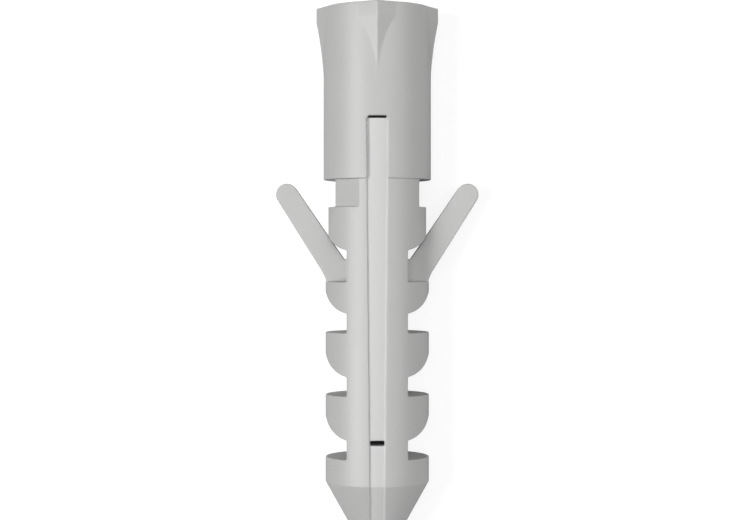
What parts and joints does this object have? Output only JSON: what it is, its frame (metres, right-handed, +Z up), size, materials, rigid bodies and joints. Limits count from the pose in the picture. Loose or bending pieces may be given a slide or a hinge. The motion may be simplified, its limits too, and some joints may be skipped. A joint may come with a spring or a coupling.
{
  "type": "wall plug",
  "caption": "Grey nylon expansion plug for masonry: round collar with wedge fins at the mouth, springy locking tongues at its sides and a notched shank that spreads when a screw is driven in.",
  "frame": {"origin": "on the floor under the middle of the plug, which lies as it comes to rest: on the fin at its back, the end of one tongue and the lower end of its shank", "axes": "+Y along the plug towards its mouth, +Z up, away from the floor, X across it; the side seen in the picture is turned 24.4 degrees from straight up, towards +X, and the axis rises by 0.49 degrees towards the mouth"},
  "size_m": [0.0146, 0.04, 0.0083],
  "materials": {
    "plug": "satin"
  },
  "bodies": {
    "root": {"plug": "plug"}
  },
  "joints": []
}
